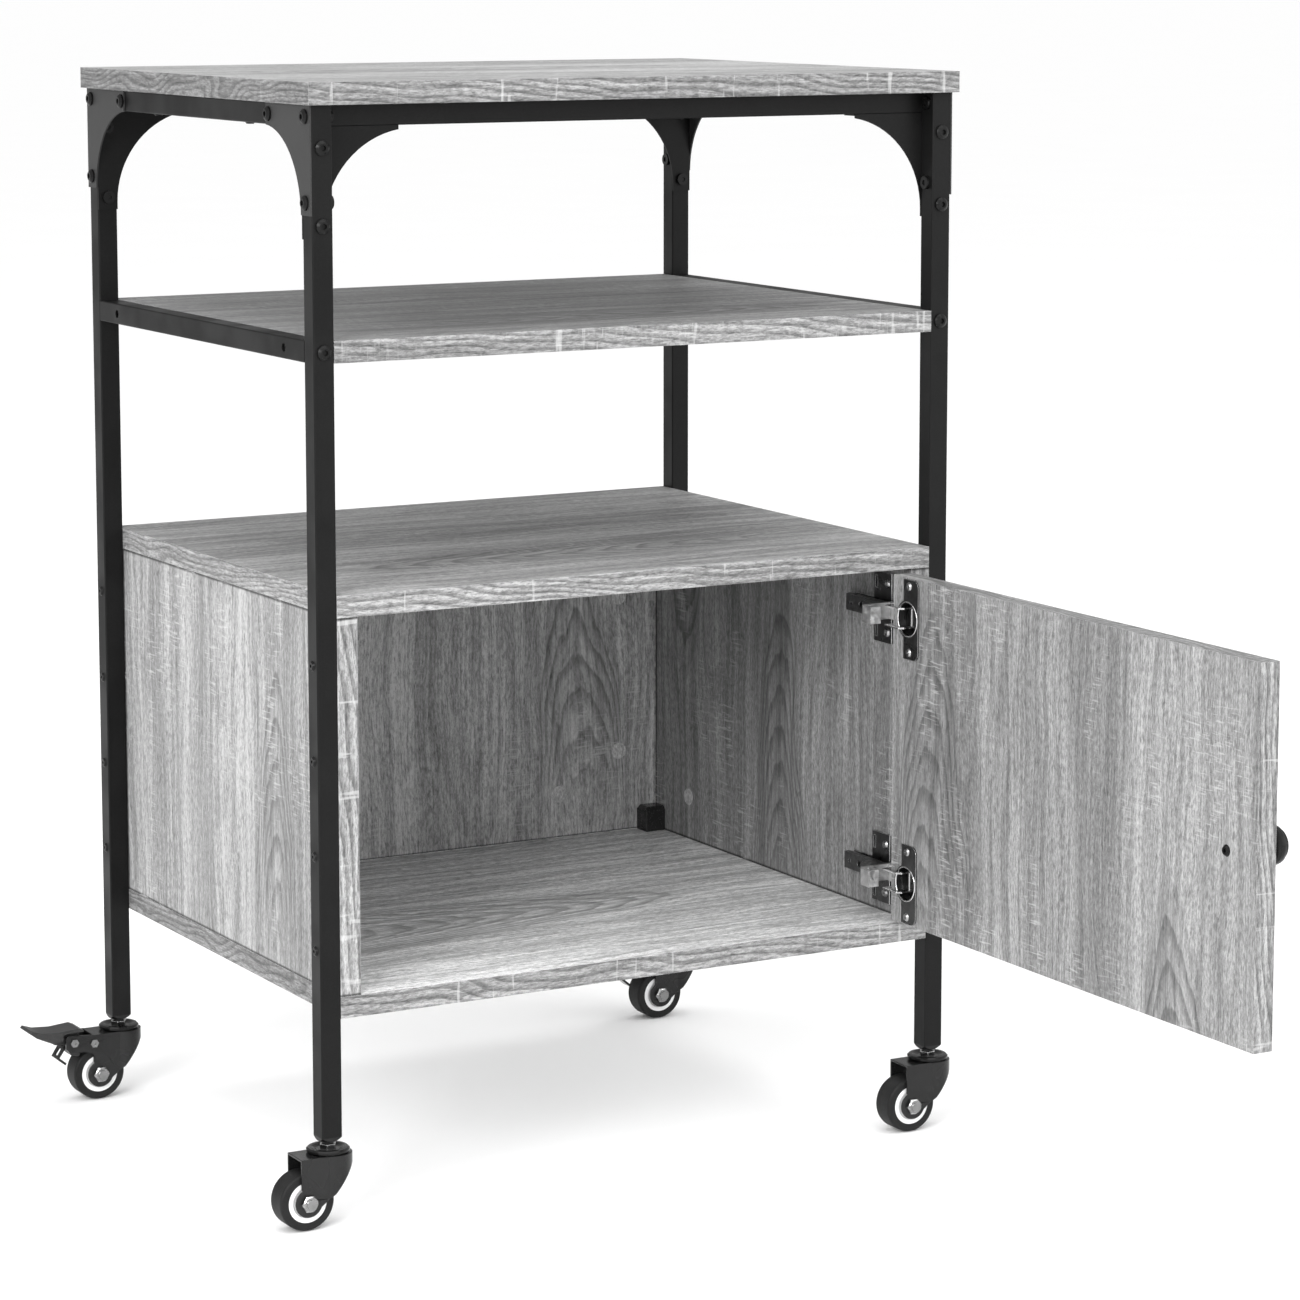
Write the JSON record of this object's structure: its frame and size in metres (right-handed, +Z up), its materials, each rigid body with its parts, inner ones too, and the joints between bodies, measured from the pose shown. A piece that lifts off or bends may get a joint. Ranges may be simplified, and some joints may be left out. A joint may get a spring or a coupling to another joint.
{
  "type": "kitchen island cart",
  "caption": "Narrow rolling kitchen cart with a black square-tube frame, wooden worktop and shelf, a wooden cabinet with an inset door, and swivel casters.",
  "frame": {"origin": "on the floor, at the middle of the box that holds the whole cart with its door open at a right angle", "axes": "+X to the cart's right seen from the front, +Y to the rear, +Z up"},
  "size_m": [0.579, 0.8268, 0.776],
  "materials": {
    "board": "grey sonoma oak foil on particle board, satin",
    "dowel_wood": "raw beech",
    "cover_film": "wood-look adhesive cover, satin",
    "frame_black": "black powder coat, fine satin",
    "black_screw": "blackened steel",
    "plastic": "black moulded plastic",
    "knob": "black, satin",
    "nickel": "nickel plated",
    "bright_steel": "zinc plated, bright",
    "caster_black": "black, satin",
    "pedal": "dark grey, satin",
    "wheel_core": "white moulded plastic",
    "tyre": "soft black tread"
  },
  "bodies": {
    "cart": {"worktop": "board", "leg_front_left": "frame_black", "leg_front_right": "frame_black", "leg_rear_left": "frame_black", "leg_rear_right": "frame_black", "top_rail_left": "frame_black", "top_rail_right": "frame_black", "crossbar_front": "frame_black", "crossbar_rear": "frame_black", "mid_rail_left": "frame_black", "mid_rail_right": "frame_black", "side_gussets": "frame_black", "cross_gussets": "frame_black", "middle_shelf": "board", "cabinet_top": "board", "cabinet_bottom": "board", "cabinet_side_left": "board", "cabinet_side_right": "board", "cabinet_back": "board", "corner_blocks": "plastic", "cam_covers": "cover_film", "dowels": "dowel_wood", "leg_plugs": "plastic", "gusset_bolts": "black_screw", "rail_bolts": "black_screw", "rail_inserts": "nickel", "board_screws": "black_screw", "worktop_screws": "black_screw", "hinge_plates": "nickel", "hinge_arms": "nickel", "hinge_plate_screws": "nickel", "hinge_pins": "nickel", "caster_stems": "caster_black", "caster_nuts": "bright_steel"},
    "door": {"door_panel": "board", "hinge_cups": "nickel", "hinge_straps": "nickel", "hinge_cup_screws": "nickel", "door_knob": "knob", "knob_screw": "black_screw"},
    "caster_front_left": {"fork_front_left": "caster_black", "axle_front_left": "bright_steel"},
    "wheel_front_left": {"wheel_front_left": "wheel_core", "tyre_front_left": "tyre"},
    "caster_front_right": {"fork_front_right": "caster_black", "axle_front_right": "bright_steel"},
    "wheel_front_right": {"wheel_front_right": "wheel_core", "tyre_front_right": "tyre"},
    "caster_rear_left": {"fork_rear_left": "caster_black", "axle_rear_left": "bright_steel"},
    "wheel_rear_left": {"wheel_rear_left": "wheel_core", "tyre_rear_left": "tyre"},
    "caster_rear_right": {"fork_rear_right": "caster_black", "axle_rear_right": "bright_steel"},
    "wheel_rear_right": {"wheel_rear_right": "wheel_core", "tyre_rear_right": "tyre"},
    "brake_left": {"pedal_left": "pedal", "brake_spring_left": "caster_black"},
    "brake_right": {"pedal_right": "pedal", "brake_spring_right": "caster_black"}
  },
  "joints": [
    {"name": "door_swing", "type": "hinge", "parent": "cart", "child": "door", "pos_m": [0.24657, 0.01812, 0.289], "axis": [0, 0, 1], "range_deg": [-90, 5]},
    {"name": "swivel_front_left", "type": "hinge", "parent": "cart", "child": "caster_front_left", "pos_m": [-0.21447, 0.02268, 0.051], "axis": [0, 0, 1], "continuous": true},
    {"name": "roll_front_left", "type": "hinge", "parent": "caster_front_left", "child": "wheel_front_left", "pos_m": [-0.23397, 0.02268, 0.02], "axis": [0, 1, 0], "continuous": true},
    {"name": "swivel_front_right", "type": "hinge", "parent": "cart", "child": "caster_front_right", "pos_m": [0.27253, 0.02268, 0.051], "axis": [0, 0, 1], "continuous": true},
    {"name": "roll_front_right", "type": "hinge", "parent": "caster_front_right", "child": "wheel_front_right", "pos_m": [0.25302, 0.02268, 0.02], "axis": [0, 1, 0], "continuous": true},
    {"name": "swivel_rear_left", "type": "hinge", "parent": "cart", "child": "caster_rear_left", "pos_m": [-0.21447, 0.39768, 0.051], "axis": [0, 0, 1], "continuous": true},
    {"name": "roll_rear_left", "type": "hinge", "parent": "caster_rear_left", "child": "wheel_rear_left", "pos_m": [-0.23397, 0.39768, 0.02], "axis": [0, 1, 0], "continuous": true},
    {"name": "swivel_rear_right", "type": "hinge", "parent": "cart", "child": "caster_rear_right", "pos_m": [0.27253, 0.39768, 0.051], "axis": [0, 0, 1], "continuous": true},
    {"name": "roll_rear_right", "type": "hinge", "parent": "caster_rear_right", "child": "wheel_rear_right", "pos_m": [0.25302, 0.39768, 0.02], "axis": [0, 1, 0], "continuous": true},
    {"name": "brake_left", "type": "hinge", "parent": "caster_rear_left", "child": "brake_left", "pos_m": [-0.25498, 0.39768, 0.0466], "axis": [0, -1, 0], "range_deg": [0, 12]},
    {"name": "brake_right", "type": "hinge", "parent": "caster_rear_right", "child": "brake_right", "pos_m": [0.23203, 0.39768, 0.0466], "axis": [0, -1, 0], "range_deg": [0, 12]}
  ]
}
